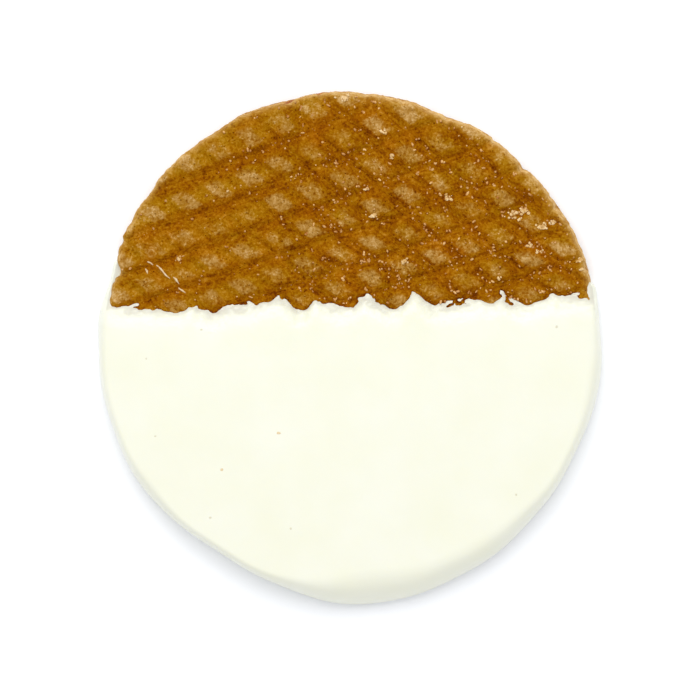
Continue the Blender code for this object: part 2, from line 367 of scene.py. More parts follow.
def newWafer(name, node, ownMiddle, pillowsUp, seed, detail, material):
    low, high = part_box(node)
    columns = int(waferLook["columns"] * detail)
    rows = waferRows()
    if detail < 1.0:
        rows = np.interp(np.linspace(0, 1, int(len(rows) * detail)), np.linspace(0, 1, len(rows)), rows)
    across, along = discPlaces(columns, rows)
    across, along = across.ravel(), along.ravel()
    share, angle = np.hypot(across, along), angleOf(across, along)
    turnX, turnY = np.cos(np.radians(angle)), np.sin(np.radians(angle))
    # the rim: ragged, with a nick where a groove runs out
    rimReach = waferReach(angle)
    rimX, rimY = rimReach * turnX, rimReach * turnY
    rimFace = waferFace(rimX, rimY, seed)
    ragged = 0.5 + 0.5 * layeredNoise(rimX, rimY, 0.0030, seed + 30, 3)
    loss = waferLook["rimRagged"] * np.clip(ragged, 0.0, 1.0) ** 1.3
    loss = loss + waferLook["rimNick"] * rimFace["groove"] ** 3 * (0.5 + 0.5 * softNoise(rimX, rimY, 0.013, seed + 31))
    loss = loss + 0.00010 * (1.0 + softNoise(rimX, rimY, 0.0006, seed + 32))
    if pillowsUp:
        loss = loss + lobeSum(angle, waferLook["notches"])
    reach = share * rimReach - share ** 14 * loss
    x, y = reach * turnX, reach * turnY
    face = waferFace(x, y, seed)
    # the rim is rounded, and its crumb is paler, with painted light added on the side of the rim that faces the light
    inward = (rimReach - loss) - reach
    band = waferLook["cutWidth"] * (1.0 + 0.45 * layeredNoise(rimX, rimY, 0.0028, seed + 33, 2))
    slope = np.clip(1.0 - inward / band, 0.0, 1.0)
    thickness = high.z - low.z
    crumble = 0.05 * layeredNoise(x, y, 0.0008, seed + 39, 2) * smoothStep(0.0, 0.4, slope)
    depth = np.clip(face["depth"] + thickness * (0.45 * slope ** 1.8 + crumble), 0.0, thickness * 0.8)
    paleAndLit = 0.50 + lobeSum(angle, waferLook["paintedRimLight"])
    paleAndLit = paleAndLit * (1.0 + 0.35 * layeredNoise(x, y, 0.0022, seed + 36, 3))
    cutCrumbAndLight = np.clip(paleAndLit * np.exp(-np.maximum(inward, 0.0) / waferLook["cutShade"]), 0.0, 1.0)
    rimRise = waferLook["rimRise"] * np.exp(-np.maximum(inward, 0.0) / waferLook["rimRiseIn"])
    rise = np.clip(face["rise"] + rimRise, 0.0, 1.7)
    side = 1.0 if pillowsUp else -1.0
    outer, inner = (high.z, low.z) if pillowsUp else (low.z, high.z)
    z = outer - side * depth
    wetAndShade = np.zeros_like(z)
    # a darker band just above the chocolate's edge: partly fat-wetted crust, partly painted shade where the wafer
    # meets the chocolate
    if pillowsUp:
        over = z - chocolateLevel(x, y)
        wetAndShade = smoothStep(0.00022, 0.00003, over) * smoothStep(-0.0006, -0.0002, over)
    places = [np.stack((x, y, z), axis=1)]
    fields = {"rise": [rise], "pale": [face["pale"]], "cutCrumbAndLight": [cutCrumbAndLight], "wetAndShade": [wetAndShade], "shadedPore": [face["shadedPore"]],
              "lean": [face["lean"]]}
    faces = [gridQuads(columns, len(rows) - 1)]
    # the side, from the rim to the flat inner face, which goes on outwards to where the other wafer's edge lies
    border = gridBorder(columns, len(rows) - 1)
    ring, count = border, len(x)
    slant = np.clip(np.cos(np.radians(angle[border] - waferLook["slantTo"])), 0.0, 1.0)
    spread = 0.00005 + (2 * slipLength * slant if pillowsUp else 0.0)
    sideFields = {"rise": 0.7, "pale": 0.0, "cutCrumbAndLight": 0.9, "wetAndShade": 0.0, "shadedPore": 0.0, "lean": 0.5}
    for step in range(1, waferLook["cutRows"] + 1):
        down = step / waferLook["cutRows"]
        height = z[border] + (inner - z[border]) * down
        rough = layeredNoise(angle[border] * 0.0009, height * 6, 0.0011, seed + 50 + step, 2)
        out = reach[border] + spread * down - 0.00008 * (1 + rough)
        places.append(np.stack((out * turnX[border], out * turnY[border], height), axis=1))
        for fieldName, value in sideFields.items():
            fields[fieldName].append(np.full(len(border), value))
        newRing = np.arange(count, count + len(border))
        faces.append(ringQuads(newRing, ring))
        ring, count = newRing, count + len(border)
    faceLists = [face for block in faces for face in block] + [ring[::-1]]
    allPlaces = np.concatenate(places)
    allPlaces[:, :2] += ownMiddle
    allFields = {key: np.concatenate(parts) for key, parts in fields.items()}
    made = newMesh(name, insideFrame(allPlaces), faceLists, allFields, flip=not pillowsUp)
    smoothFaces(made, 50)
    made.data.materials.append(material)
    return made


# Materials
def paint(red, green, blue, gain=1.0):
    # a colour as it should show, 0 to 255, made the paint that gives it under the studio light
    linear = []
    for value in (red, green, blue):
        share = value / 255.0
        linear.append(gain * (share / 12.92 if share < 0.04045 else ((share + 0.055) / 1.055) ** 2.4))
    return (*linear, 1.0)


def newMaterial(name):
    made = bpy.data.materials.new(name)
    made.use_nodes = True
    return made, made.node_tree.nodes, made.node_tree.links, made.node_tree.nodes["Principled BSDF"]


def newNode(nodes, kind, **settings):
    made = nodes.new(kind)
    for key, value in settings.items():
        setattr(made, key, value)
    return made


def mathNode(nodes, links, operation, *values, clamp=False):
    made = newNode(nodes, "ShaderNodeMath", operation=operation, use_clamp=clamp)
    for socket, value in zip(made.inputs, values):
        if isinstance(value, (int, float)):
            socket.default_value = value
        else:
            links.new(value, socket)
    return made.outputs[0]


def fieldNode(nodes, name):
    return newNode(nodes, "ShaderNodeAttribute", attribute_name=name).outputs["Fac"]


def noiseNode(nodes, links, place, size, detail=3.0, rough=0.55, swirl=0.0):
    made = newNode(nodes, "ShaderNodeTexNoise")
    for socketName, value in (("Scale", 1.0 / size), ("Detail", detail), ("Roughness", rough), ("Distortion", swirl)):
        made.inputs[socketName].default_value = value
    links.new(place, made.inputs["Vector"])
    return made.outputs["Fac"]


def rangeNode(nodes, links, value, low, high, lowResult=0.0, highResult=1.0):
    made = newNode(nodes, "ShaderNodeMapRange", interpolation_type="SMOOTHSTEP")
    for socketName, number in (
        ("From Min", low), ("From Max", high), ("To Min", lowResult), ("To Max", highResult),
    ):
        made.inputs[socketName].default_value = number
    links.new(value, made.inputs["Value"])
    return made.outputs["Result"]


def dotNode(nodes, links, place, size, radius, rarity, crowd):
    # small round dots, one in some of the cells, and more of them where crowd is high
    cells = newNode(nodes, "ShaderNodeTexVoronoi", feature="F1")
    cells.inputs["Scale"].default_value = 1.0 / size
    links.new(place, cells.inputs["Vector"])
    near = rangeNode(nodes, links, cells.outputs["Distance"], radius * 0.5, radius, 1.0, 0.0)
    chance = mathNode(nodes, links, "MULTIPLY_ADD", crowd, 0.25, cells.outputs["Color"])
    return mathNode(nodes, links, "MULTIPLY", near, mathNode(nodes, links, "GREATER_THAN", chance, rarity))


def mixNode(nodes, links, share, first, second):
    made = newNode(nodes, "ShaderNodeMix", data_type="RGBA")
    for socket, value in zip((made.inputs[0], made.inputs[6], made.inputs[7]), (share, first, second)):
        if isinstance(value, tuple):
            socket.default_value = value
        else:
            links.new(value, socket)
    return made.outputs[2]


def bumpNode(nodes, links, shader, height, strength, distance):
    made = newNode(nodes, "ShaderNodeBump")
    made.inputs["Strength"].default_value = strength
    made.inputs["Distance"].default_value = distance
    links.new(height, made.inputs["Height"])
    links.new(made.outputs["Normal"], shader.inputs["Normal"])


def rampNode(nodes, links, value, stops):
    made = newNode(nodes, "ShaderNodeValToRGB")
    ramp = made.color_ramp
    while len(ramp.elements) < len(stops):
        ramp.elements.new(0.5)
    for element, (position, colour) in zip(ramp.elements, stops):
        element.position = position
        element.color = colour
    links.new(value, made.inputs["Fac"])
    return made.outputs["Color"]


crustLook = {
    "gain": 0.80,
    "tone": 0.37,
    "riseTone": 0.235,
    "wetAndShadeTone": -0.34,
    "shadedPoreTone": -0.25,
    "patchTone": 0.42,
    "patchSize": 0.0055,
    "wispTone": 1.05,
    "wispSize": 0.0013,
    "streakTone": 1.00,
    "streakWide": 0.00065,
    "streakLong": 0.0042,
    "grainTone": 1.04,
    "grainSize": 0.00045,
    "dotTone": -0.42,
    "dotSize": 0.0009,
    "fleckTone": 0.30,
    "fleckSize": 0.0007,
    "orange": 0.42,
    "paleFrom": 0.18,
    "paleTo": 0.95,
    "roughness": 0.70,
}


def streakNoise(nodes, links, place, direction):
    # long streaks that run with one family of grooves
    turned = newNode(nodes, "ShaderNodeMapping", vector_type="TEXTURE")
    turned.inputs["Rotation"].default_value = (0.0, 0.0, math.radians(direction))
    turned.inputs["Scale"].default_value = (crustLook["streakLong"], crustLook["streakWide"], 0.002)
    links.new(place, turned.inputs["Vector"])
    return noiseNode(nodes, links, turned.outputs["Vector"], 1.0, 3.0, 0.6, 0.6)


def newCrust():
    made, nodes, links, shader = newMaterial("bakedWafer")
    place = newNode(nodes, "ShaderNodeTexCoord").outputs["Object"]
    rise, pale, cutCrumbAndLight = fieldNode(nodes, "rise"), fieldNode(nodes, "pale"), fieldNode(nodes, "cutCrumbAndLight")
    patches = noiseNode(nodes, links, place, crustLook["patchSize"], 3.0)
    wisps = noiseNode(nodes, links, place, crustLook["wispSize"], 4.0, 0.6, 0.8)
    grain = noiseNode(nodes, links, place, crustLook["grainSize"], 2.0, 0.6, 0.5)
    # dark dots: small pits, darkened as painted shade
    shadedPits = dotNode(nodes, links, place, crustLook["dotSize"], 0.17, 0.62, pale)
    flecks = dotNode(nodes, links, place, crustLook["fleckSize"], 0.26, 0.70, pale)
    steepStreak = streakNoise(nodes, links, place, gridRule["steep"][0])
    levelStreak = streakNoise(nodes, links, place, gridRule["level"][0])
    streaks = mathNode(nodes, links, "SUBTRACT", steepStreak, levelStreak)
    streaks = mathNode(nodes, links, "MULTIPLY_ADD", streaks, fieldNode(nodes, "lean"), levelStreak)
    inGroove = mathNode(nodes, links, "SUBTRACT", 1.0, rise, clamp=True)
    streaks = mathNode(nodes, links, "MULTIPLY", mathNode(nodes, links, "SUBTRACT", streaks, 0.5), inGroove)
    tone = crustLook["tone"] - 0.5 * (crustLook["patchTone"] + crustLook["wispTone"] + crustLook["grainTone"])
    # the tone is darkened by painted shade at the chocolate's edge (with fat-wetted crust there), in pores and in
    # small pits
    for value, name in (
        (rise, "rise"), (fieldNode(nodes, "wetAndShade"), "wetAndShade"), (fieldNode(nodes, "shadedPore"), "shadedPore"), (patches, "patch"),
        (wisps, "wisp"), (streaks, "streak"), (grain, "grain"), (shadedPits, "dot"), (flecks, "fleck"),
    ):
        part = mathNode(nodes, links, "MULTIPLY", value, crustLook[name + "Tone"])
        tone = mathNode(nodes, links, "ADD", part, tone)
    gain = crustLook["gain"]
    golden = rampNode(nodes, links, tone, (
        (0.00, paint(101, 42, 0, gain)), (0.28, paint(139, 79, 0, gain)), (0.50, paint(158, 105, 1, gain)),
        (0.72, paint(175, 124, 20, gain)), (1.00, paint(204, 158, 76, gain)),
    ))
    orange = rampNode(nodes, links, tone, (
        (0.00, paint(98, 38, 0, gain)), (0.28, paint(142, 72, 0, gain)), (0.50, paint(162, 90, 1, gain)),
        (0.72, paint(181, 110, 18, gain)), (1.00, paint(212, 148, 70, gain)),
    ))
    beige = rampNode(nodes, links, tone, (
        (0.20, paint(138, 88, 22, gain)), (0.50, paint(171, 124, 53, gain)), (0.72, paint(189, 144, 78, gain)),
        (1.00, paint(222, 184, 124, gain)),
    ))
    crumb = rampNode(nodes, links, wisps, ((0.32, paint(196, 140, 58, gain)), (0.66, paint(242, 206, 142, gain))))
    # burnt orange in the grooves and in places, golden on the pillows
    hue = noiseNode(nodes, links, place, 0.0052, 2.0)
    hue = mathNode(nodes, links, "MULTIPLY_ADD", hue, 1.6, crustLook["orange"] - 0.8)
    burnt = mathNode(nodes, links, "MULTIPLY_ADD", rise, -0.3, hue, clamp=True)
    floury = mathNode(nodes, links, "MULTIPLY_ADD", wisps, 1.1, -0.55)
    floury = mathNode(nodes, links, "MULTIPLY_ADD", grain, 0.7, mathNode(nodes, links, "ADD", floury, -0.35))
    floury = mathNode(nodes, links, "MULTIPLY", floury, mathNode(nodes, links, "MULTIPLY", pale, 2.0, clamp=True))
    floury = rangeNode(nodes, links, mathNode(nodes, links, "ADD", pale, floury),
                       crustLook["paleFrom"], crustLook["paleTo"], 0.0, 1.0)
    colour = mixNode(nodes, links, burnt, golden, orange)
    colour = mixNode(nodes, links, floury, colour, beige)
    # pale cut crumb at the rim, partly painted light on the rim's side that faces the light
    colour = mixNode(nodes, links, cutCrumbAndLight, colour, crumb)
    links.new(colour, shader.inputs["Base Color"])
    # the grooves are a little glossier than the dry pillows
    gloss = mathNode(nodes, links, "MULTIPLY_ADD", rise, 0.16, crustLook["roughness"] - 0.16)
    links.new(mathNode(nodes, links, "MULTIPLY_ADD", grain, 0.2, gloss, clamp=True), shader.inputs["Roughness"])
    shader.inputs["Specular IOR Level"].default_value = 0.12
    shader.inputs["Specular Tint"].default_value = (1.0, 0.6, 0.08, 1.0)
    height = mathNode(nodes, links, "MULTIPLY_ADD", wisps, 1.6, grain)
    height = mathNode(nodes, links, "MULTIPLY_ADD", shadedPits, -0.8, height)
    height = mathNode(nodes, links, "MULTIPLY_ADD", flecks, 0.4, height)
    bumpNode(nodes, links, shader, height, 0.9, 0.00016)
    return made


crust = newCrust()
upperWafer = newWafer("upperWafer", "wafer_upper", upperMiddle, True, 4, 1.0, crust)
lowerWafer = newWafer("lowerWafer", "wafer_lower", lowerMiddle, False, 209, 0.72, crust)
print("wafers made")


# Syrup
syrupLook = {
    "steps": 420,
    "rows": 12,
    "inset": 0.0010,
    "bulge": 0.0003,
    "overlap": 0.00012,
    "cling": 0.00025,
    "lumps": 0.00016,
    "lobes": ((12, 6, 0.0004), (48, 9, -0.0005), (97, 5, 0.0005), (140, 8, -0.0004)),
}


def newCaramel():
    made, nodes, links, shader = newMaterial("caramelSyrup")
    place = newNode(nodes, "ShaderNodeTexCoord").outputs["Object"]
    clouds = noiseNode(nodes, links, place, 0.0016, 4.0, 0.6)
    colour = rampNode(nodes, links, clouds, (
        (0.30, paint(112, 54, 2)), (0.50, paint(152, 84, 8)), (0.70, paint(192, 124, 30)),
    ))
    links.new(colour, shader.inputs["Base Color"])
    shader.inputs["Roughness"].default_value = 0.22
    shader.inputs["Specular IOR Level"].default_value = 0.55
    bumpNode(nodes, links, shader, noiseNode(nodes, links, place, 0.0007, 2.0), 0.5, 0.0001)
    return made


def newSyrup(material):
    low, high = lowerHigh.z - syrupLook["overlap"], upperLow.z + syrupLook["overlap"]
    steps, rows = syrupLook["steps"], syrupLook["rows"]
    angle = np.arange(steps) * 360.0 / steps
    turn = np.radians(angle)
    rings = []
    for row in range(rows + 1):
        share = row / rows
        height = low + (high - low) * share
        reach = waferReach(angle) - syrupLook["inset"] + lobeSum(angle, syrupLook["lobes"])
        reach = reach + syrupLook["bulge"] * math.sin(math.pi * share)
        edge = abs(2 * share - 1)
        reach = reach + syrupLook["cling"] * edge ** 6
        around = np.cos(turn) * 0.05, np.sin(turn) * 0.05
        reach = reach + syrupLook["lumps"] * layeredNoise(around[0] + height * 2, around[1], 0.0026, 81, 3)
        rings.append(np.stack((reach * np.cos(turn), reach * np.sin(turn), np.full(steps, height)), axis=1))
    places = np.concatenate(rings)
    places[:, :2] += middle
    faces = []
    for row in range(rows):
        first = np.arange(steps) + row * steps
        faces.extend(ringQuads(first, first + steps))
    faces.append(np.arange(steps)[::-1])
    faces.append(np.arange(steps) + rows * steps)
    made = newMesh("syrupLayer", insideFrame(places), faces)
    smoothFaces(made, 60)
    made.data.materials.append(material)
    return made


syrupLayer = newSyrup(newCaramel())
print("syrup made")


# White chocolate
coatLook = {
    "columns": 300,
    "fineRows": 78,
    "plainRows": 58,
    "rimRows": 14,
    "wall": 0.0004,
    "gap": 0.0003,
    "shoulder": 0.0016,  # how far in the top starts to round off
    "shoulderMore": 1.3,  # and how much further in where the foot reaches out
    "square": 3.0,  # 2 rounds the side like an ellipse, more is squarer
    "squareLess": 320.0,  # how much rounder it is for each metre of the foot
    "topShare": 0.965,  # the top's mesh ends at this share of the height
    "sideShares": (0.93, 0.88, 0.82, 0.75, 0.67, 0.58, 0.49, 0.40, 0.32, 0.24, 0.17, 0.11, 0.065, 0.035),
    "footFlare": 0.0001,
    "footLobes": (
        (162, 6, -0.0005), (174, 4, 0.0005), (216, 5, 0.0004), (273, 10, 0.0019), (297, 16, 0.0015),
        (350, 8, 0.0005),
    ),
    "wallStart": -0.0020,
    "wallEnd": 0.0012,
    "swell": 0.00012,
    "ripple": 0.00005,
    "hidden": 0.00035,
    "thinUpTo": 0.0009,
}


coatPaint = {
    "gain": 0.80,
    "cream": (249, 250, 229),
    "white": (251, 252, 236),
    # the grey of a thin film, which also serves as painted shade below the wafer's edge
    "thin": (226, 224, 208),
    "roughness": 0.24,
}


def footReach(angle):
    return coatLook["footFlare"] + lobeSum(angle, coatLook["footLobes"])


def sideShape(angle):
    # the wall's reach, how far in its rounding starts, and how square it is
    foot = footReach(angle)
    out = np.maximum(foot, 0.0)
    wall = waferReach(angle) + slipLength + coatLook["gap"] + coatLook["wall"] + foot
    return wall, coatLook["shoulder"] + (coatLook["shoulderMore"] + 1.0) * out, coatLook["square"] - coatLook["squareLess"] * out


def filmShare(angle):
    # 1 where the side is coated, and 0 past the ends of the dip line, where the film has thinned away
    reach = waferReach(angle)
    x, y = reach * np.cos(np.radians(angle)), reach * np.sin(np.radians(angle))
    return smoothStep(coatLook["wallStart"], coatLook["wallEnd"], belowDip(x, y, 1.0))


def sideReach(angle, heightShare):
    # the side's outline at a share of its height
    wall, shoulder, square = sideShape(angle)
    coated = wall - shoulder * (1.0 - (1.0 - heightShare ** square) ** (1.0 / square))
    film = filmShare(angle)
    return coated * film + (waferReach(angle) - 0.0011) * (1.0 - film)


def coatRows():
    # dense near the dip line and at the far rim
    dip = 0.0078 / outlineRule["radius"]
    far = np.linspace(-1.0, -0.93, coatLook["rimRows"] + 1)
    plain = np.linspace(-0.93, dip - 0.13, coatLook["plainRows"] + 1)
    fine = np.linspace(dip - 0.13, dip + 0.15, coatLook["fineRows"] + 1)
    past = np.linspace(dip + 0.15, 1.0, 44)
    return np.concatenate((far[:-1], plain[:-1], fine[:-1], past))


def coatTop(x, y):
    # the chocolate's top surface, away from its shoulder
    calm = smoothStep(0.0, 0.006, belowDip(x, y, dipLook["climbOnTop"]))
    swell = coatLook["swell"] * (0.5 + 0.5 * softNoise(x, y, 0.017, 71))
    ripple = coatLook["ripple"] * (0.5 + 0.5 * layeredNoise(x, y, 0.0055, 73, 2))
    return chocolateLevel(x, y) - calm * (swell + ripple)


def newChocolate():
    made, nodes, links, shader = newMaterial("whiteChocolate")
    place = newNode(nodes, "ShaderNodeTexCoord").outputs["Object"]
    clouds = noiseNode(nodes, links, place, 0.011, 3.0, 0.5)
    gain = coatPaint["gain"]
    cream = rampNode(nodes, links, clouds, (
        (0.30, paint(*coatPaint["cream"], gain)), (0.70, paint(*coatPaint["white"], gain)),
    ))
    # greyer where the film is thin: partly the wafer showing through, partly painted shade near the dip line
    colour = mixNode(nodes, links, fieldNode(nodes, "thin"), cream, paint(*coatPaint["thin"], gain))
    links.new(colour, shader.inputs["Base Color"])
    gloss = noiseNode(nodes, links, place, 0.004, 2.0)
    links.new(mathNode(nodes, links, "MULTIPLY_ADD", gloss, 0.16, coatPaint["roughness"]), shader.inputs["Roughness"])
    shader.inputs["Specular IOR Level"].default_value = 0.5
    shader.inputs["Subsurface Weight"].default_value = 0.15
    shader.inputs["Subsurface Radius"].default_value = (0.0010, 0.0009, 0.0006)
    bumpNode(nodes, links, shader, noiseNode(nodes, links, place, 0.0023, 3.0), 0.25, 0.00006)
    return made


def newCoat(material):
    columns, rows = coatLook["columns"], coatRows()
    across, along = discPlaces(columns, rows)
    across, along = across.ravel(), along.ravel()
    share, angle = np.hypot(across, along), angleOf(across, along)
    turnX, turnY = np.cos(np.radians(angle)), np.sin(np.radians(angle))
    rim, film = waferReach(angle), filmShare(angle)
    # the top and the upper part of its shoulder
    reach = share * sideReach(angle, coatLook["topShare"])
    x, y = reach * turnX, reach * turnY
    wall, shoulder, square = sideShape(angle)
    outward = np.clip((reach - wall + shoulder) / shoulder, 0.0, 0.98) * film
    fall = (1.0 - outward ** square) ** (1.0 / square)
    top = np.minimum(coatTop(x, y) * fall, coatHigh.z)
    face = waferFace(x - upperMiddle[0] + middle[0], y - upperMiddle[1] + middle[1], 4)
    # greyer where the film over the wafer is thin: partly the wafer showing through, partly painted shade below the
    # wafer's edge
    over = top - (upperHigh.z - face["depth"])
    thin = smoothStep(coatLook["thinUpTo"], 0.0, over)
    places, thins = [np.stack((x, y, top), axis=1)], [thin]
    hidden = [(over < -coatLook["hidden"]) & (reach < rim - 0.0006)]
    faces = [gridQuads(columns, len(rows) - 1)]
    # the side, the foot and the turn to the underside
    border = gridBorder(columns, len(rows) - 1)
    ring, count = border, len(x)
    ringAngle, edgeTop = angle[border], top[border] / coatLook["topShare"]
    profile = [(heightShare, 0.0, 0.0) for heightShare in coatLook["sideShares"]]
    profile += [(0.0, 0.00018, 0.00010), (0.0, 0.00005, 0.00028), (0.0, 0.0, 0.0005)]
    for heightShare, lift, inset in profile:
        height = np.maximum(edgeTop * heightShare, 0.0003) if heightShare else np.full_like(edgeTop, lift)
        out = sideReach(ringAngle, heightShare) - inset
        out = out - 0.00008 * film[border] * (
            0.5 + 0.5 * softNoise(turnX[border] * 0.05 + height, turnY[border] * 0.05, 0.006, 77)
        ) * smoothStep(1.0, 0.8, heightShare)
        places.append(np.stack((out * turnX[border], out * turnY[border], height), axis=1))
        # half grey where the film has thinned away on the side: thin film and painted shade
        thins.append(0.5 * (1.0 - film[border]))
        hidden.append(out < rim[border] - 0.0007)
        newRing = np.arange(count, count + len(border))
        faces.append(ringQuads(newRing, ring))
        ring, count = newRing, count + len(border)
    # the underside, thin below the wafer and ending at the dip line
    baseReach = share * (sideReach(angle, 0.0) - 0.0005)
    baseX, baseY = baseReach * turnX, baseReach * turnY
    into = belowDip(baseX, baseY, 1.0) + 0.0005 * layeredNoise(baseX, baseY, 0.004, 79, 2)
    rise = 0.0026 * smoothStep(0.0018, -0.0032, into)
    inside = np.ones(len(baseX), bool)
    inside[border] = False
    names = np.full(len(baseX), -1)
    names[inside] = np.arange(count, count + inside.sum())
    names[border] = ring
    places.append(np.stack((baseX, baseY, rise), axis=1)[inside])
    # greyer where the underside rises into the wafer: thin film and painted shade
    thins.append(smoothStep(0.0002, 0.0010, rise)[inside])
    hidden.append(((rise > 0.0021) & (baseReach < rim - 0.0008))[inside])
    faces.append(names[gridQuads(columns, len(rows) - 1)][:, ::-1])
    allPlaces = np.concatenate(places)
    allPlaces[:, :2] += middle
    allHidden, allFaces = np.concatenate(hidden), np.concatenate(faces)
    kept = allFaces[~allHidden[allFaces].all(axis=1)]
    made = newMesh("whiteChocolateCoat", insideFrame(allPlaces), kept, {"thin": np.concatenate(thins)})
    closeInside(made)
    smoothFaces(made)
    made.data.materials.append(material)
    return made


def closeInside(target):
    # drops loose points and closes the shell where it ends inside the wafers
    bm = bmesh.new()
    bm.from_mesh(target.data)
    bmesh.ops.delete(bm, geom=[vertex for vertex in bm.verts if not vertex.link_faces], context="VERTS")
    bmesh.ops.holes_fill(bm, edges=[edge for edge in bm.edges if edge.is_boundary])
    bmesh.ops.triangulate(bm, faces=[face for face in bm.faces if len(face.verts) > 4])
    bmesh.ops.recalc_face_normals(bm, faces=bm.faces[:])
    bm.to_mesh(target.data)
    bm.free()


chocolate = newChocolate()
whiteCoat = newCoat(chocolate)
print("white chocolate made")


def newGrainPaint(name, dark, light, roughness, clear):
    made, nodes, links, shader = newMaterial(name)
    place = newNode(nodes, "ShaderNodeTexCoord").outputs["Object"]
    clouds = noiseNode(nodes, links, place, 0.0009, 3.0, 0.6)
    links.new(rampNode(nodes, links, clouds, ((0.34, dark), (0.68, light))), shader.inputs["Base Color"])
    shader.inputs["Roughness"].default_value = roughness
    shader.inputs["Specular IOR Level"].default_value = clear
    return made


# Chocolate that ran up a groove, and crumbs that stuck in the coat
trickleLook = {
    "runs": (  # places on the upper wafer
        ((-0.0402, 0.0160), (-0.0396, 0.0158), (-0.0390, 0.0153)),
        ((-0.0384, 0.0153), (-0.0378, 0.0149), (-0.0371, 0.0141), (-0.0364, 0.0132), (-0.0356, 0.0126)),
        ((-0.0350, 0.0129), (-0.0344, 0.0124), (-0.0338, 0.0115)),
        ((-0.0340, 0.0108), (-0.0335, 0.0104), (-0.0330, 0.0101), (-0.0325, 0.0097)),
        ((-0.0406, 0.0146), (-0.0403, 0.0142), (-0.0401, 0.0136)),
    ),
    "width": 0.00016,
    "height": 0.00013,
    "rings": 18,
    "sides": 8,
}


def newTrickle(material):
    rings, sides = trickleLook["rings"], trickleLook["sides"]
    places, faces = [], []
    around = np.arange(sides) * 2 * math.pi / sides
    for number, run in enumerate(trickleLook["runs"]):
        stops, share = np.linspace(0.0, 1.0, len(run)), np.linspace(0.0, 1.0, rings)
        x, y = np.interp(share, stops, [p[0] for p in run]), np.interp(share, stops, [p[1] for p in run])
        taper = np.sqrt(np.sin(math.pi * (0.04 + 0.92 * share)))
        lumpy = taper * (1.0 + 0.55 * softNoise(x, y + 0.01 * number, 0.0007, 101))
        ahead = np.arctan2(np.gradient(y), np.gradient(x))
        across = trickleLook["width"] * lumpy[:, None] * np.cos(around)
        ringX = x[:, None] - np.sin(ahead)[:, None] * across
        ringY = y[:, None] + np.cos(ahead)[:, None] * across
        floor = upperHigh.z - waferFace(x, y, 4)["depth"]
        ringZ = floor[:, None] + trickleLook["height"] * lumpy[:, None] * (0.35 + np.sin(around))
        places.append(np.stack((ringX + upperMiddle[0], ringY + upperMiddle[1], ringZ), axis=2).reshape(-1, 3))
        first = number * rings * sides
        for ring in range(rings - 1):
            lower = np.arange(sides) + first + ring * sides
            faces.extend(ringQuads(lower, lower + sides)[:, ::-1])
        faces.append(np.arange(sides) + first)
        faces.append((np.arange(sides) + first + (rings - 1) * sides)[::-1])
    made = newMesh("chocolateTrickle", np.concatenate(places), faces)
    smoothFaces(made)
    made.data.materials.append(material)
    return made


speckLook = {
    "places": (  # place on the coat and how big each crumb is
        (-0.0140, -0.0185, 0.00034), (-0.0254, -0.0258, 0.00036), (-0.0277, -0.0354, 0.00022),
        (-0.0116, -0.0376, 0.00020), (-0.0295, 0.0022, 0.00024), (-0.0405, -0.0036, 0.00022),
        (-0.0387, -0.0191, 0.00020), (0.0335, -0.0308, 0.00024), (0.0416, 0.0028, 0.00026),
    ),
    "bare": 2,  # the first ones are tan; the rest are under a greyer film of chocolate
    "flat": 0.25,
}


def newSpeckPaint():
    made, nodes, links, shader = newMaterial("crumbSpeck")
    place = newNode(nodes, "ShaderNodeTexCoord").outputs["Object"]
    clouds = noiseNode(nodes, links, place, 0.0003, 2.0)
    brown = rampNode(nodes, links, clouds, ((0.35, paint(232, 206, 160, 0.8)), (0.65, paint(244, 228, 190, 0.8))))
    film = mathNode(nodes, links, "MULTIPLY", fieldNode(nodes, "film"), 0.88)
    links.new(mixNode(nodes, links, film, brown, paint(230, 228, 204, 0.8)), shader.inputs["Base Color"])
    shader.inputs["Roughness"].default_value = 0.5
    shader.inputs["Specular IOR Level"].default_value = 0.2
    return made


def newSpecks(material):
    bm = bmesh.new()
    chance = np.random.default_rng(17)
    films = []
    for number, (x, y, size) in enumerate(speckLook["places"]):
        made = bmesh.ops.create_icosphere(bm, subdivisions=2, radius=size)
        height = float(coatTop(np.array(x), np.array(y)))
        stretch = chance.uniform(0.7, 1.3, 3) * (1.0, 1.0, speckLook["flat"])
        for vertex in made["verts"]:
            rough = chance.uniform(0.8, 1.15)
            vertex.co = [vertex.co[axis] * stretch[axis] * rough for axis in range(3)]
            vertex.co += Vector((x + middle[0], y + middle[1], height))
            films.append(float(number >= speckLook["bare"]))
    for vertex in bm.verts:
        vertex.co = insideFrame(np.array(vertex.co))
    mesh = bpy.data.meshes.new("crustSpecks")
    bm.to_mesh(mesh)
    bm.free()
    mesh.attributes.new("film", "FLOAT", "POINT").data.foreach_set("value", films)
    made = bpy.data.objects.new("crustSpecks", mesh)
    bpy.context.scene.collection.objects.link(made)
    mesh.materials.append(material)
    return made


chocolateTrickle = newTrickle(newGrainPaint("thinChocolate", paint(216, 176, 116, 0.8), paint(248, 232, 200, 0.8), 0.4, 0.4))
crustSpecks = newSpecks(newSpeckPaint())
print("trickle and specks made")


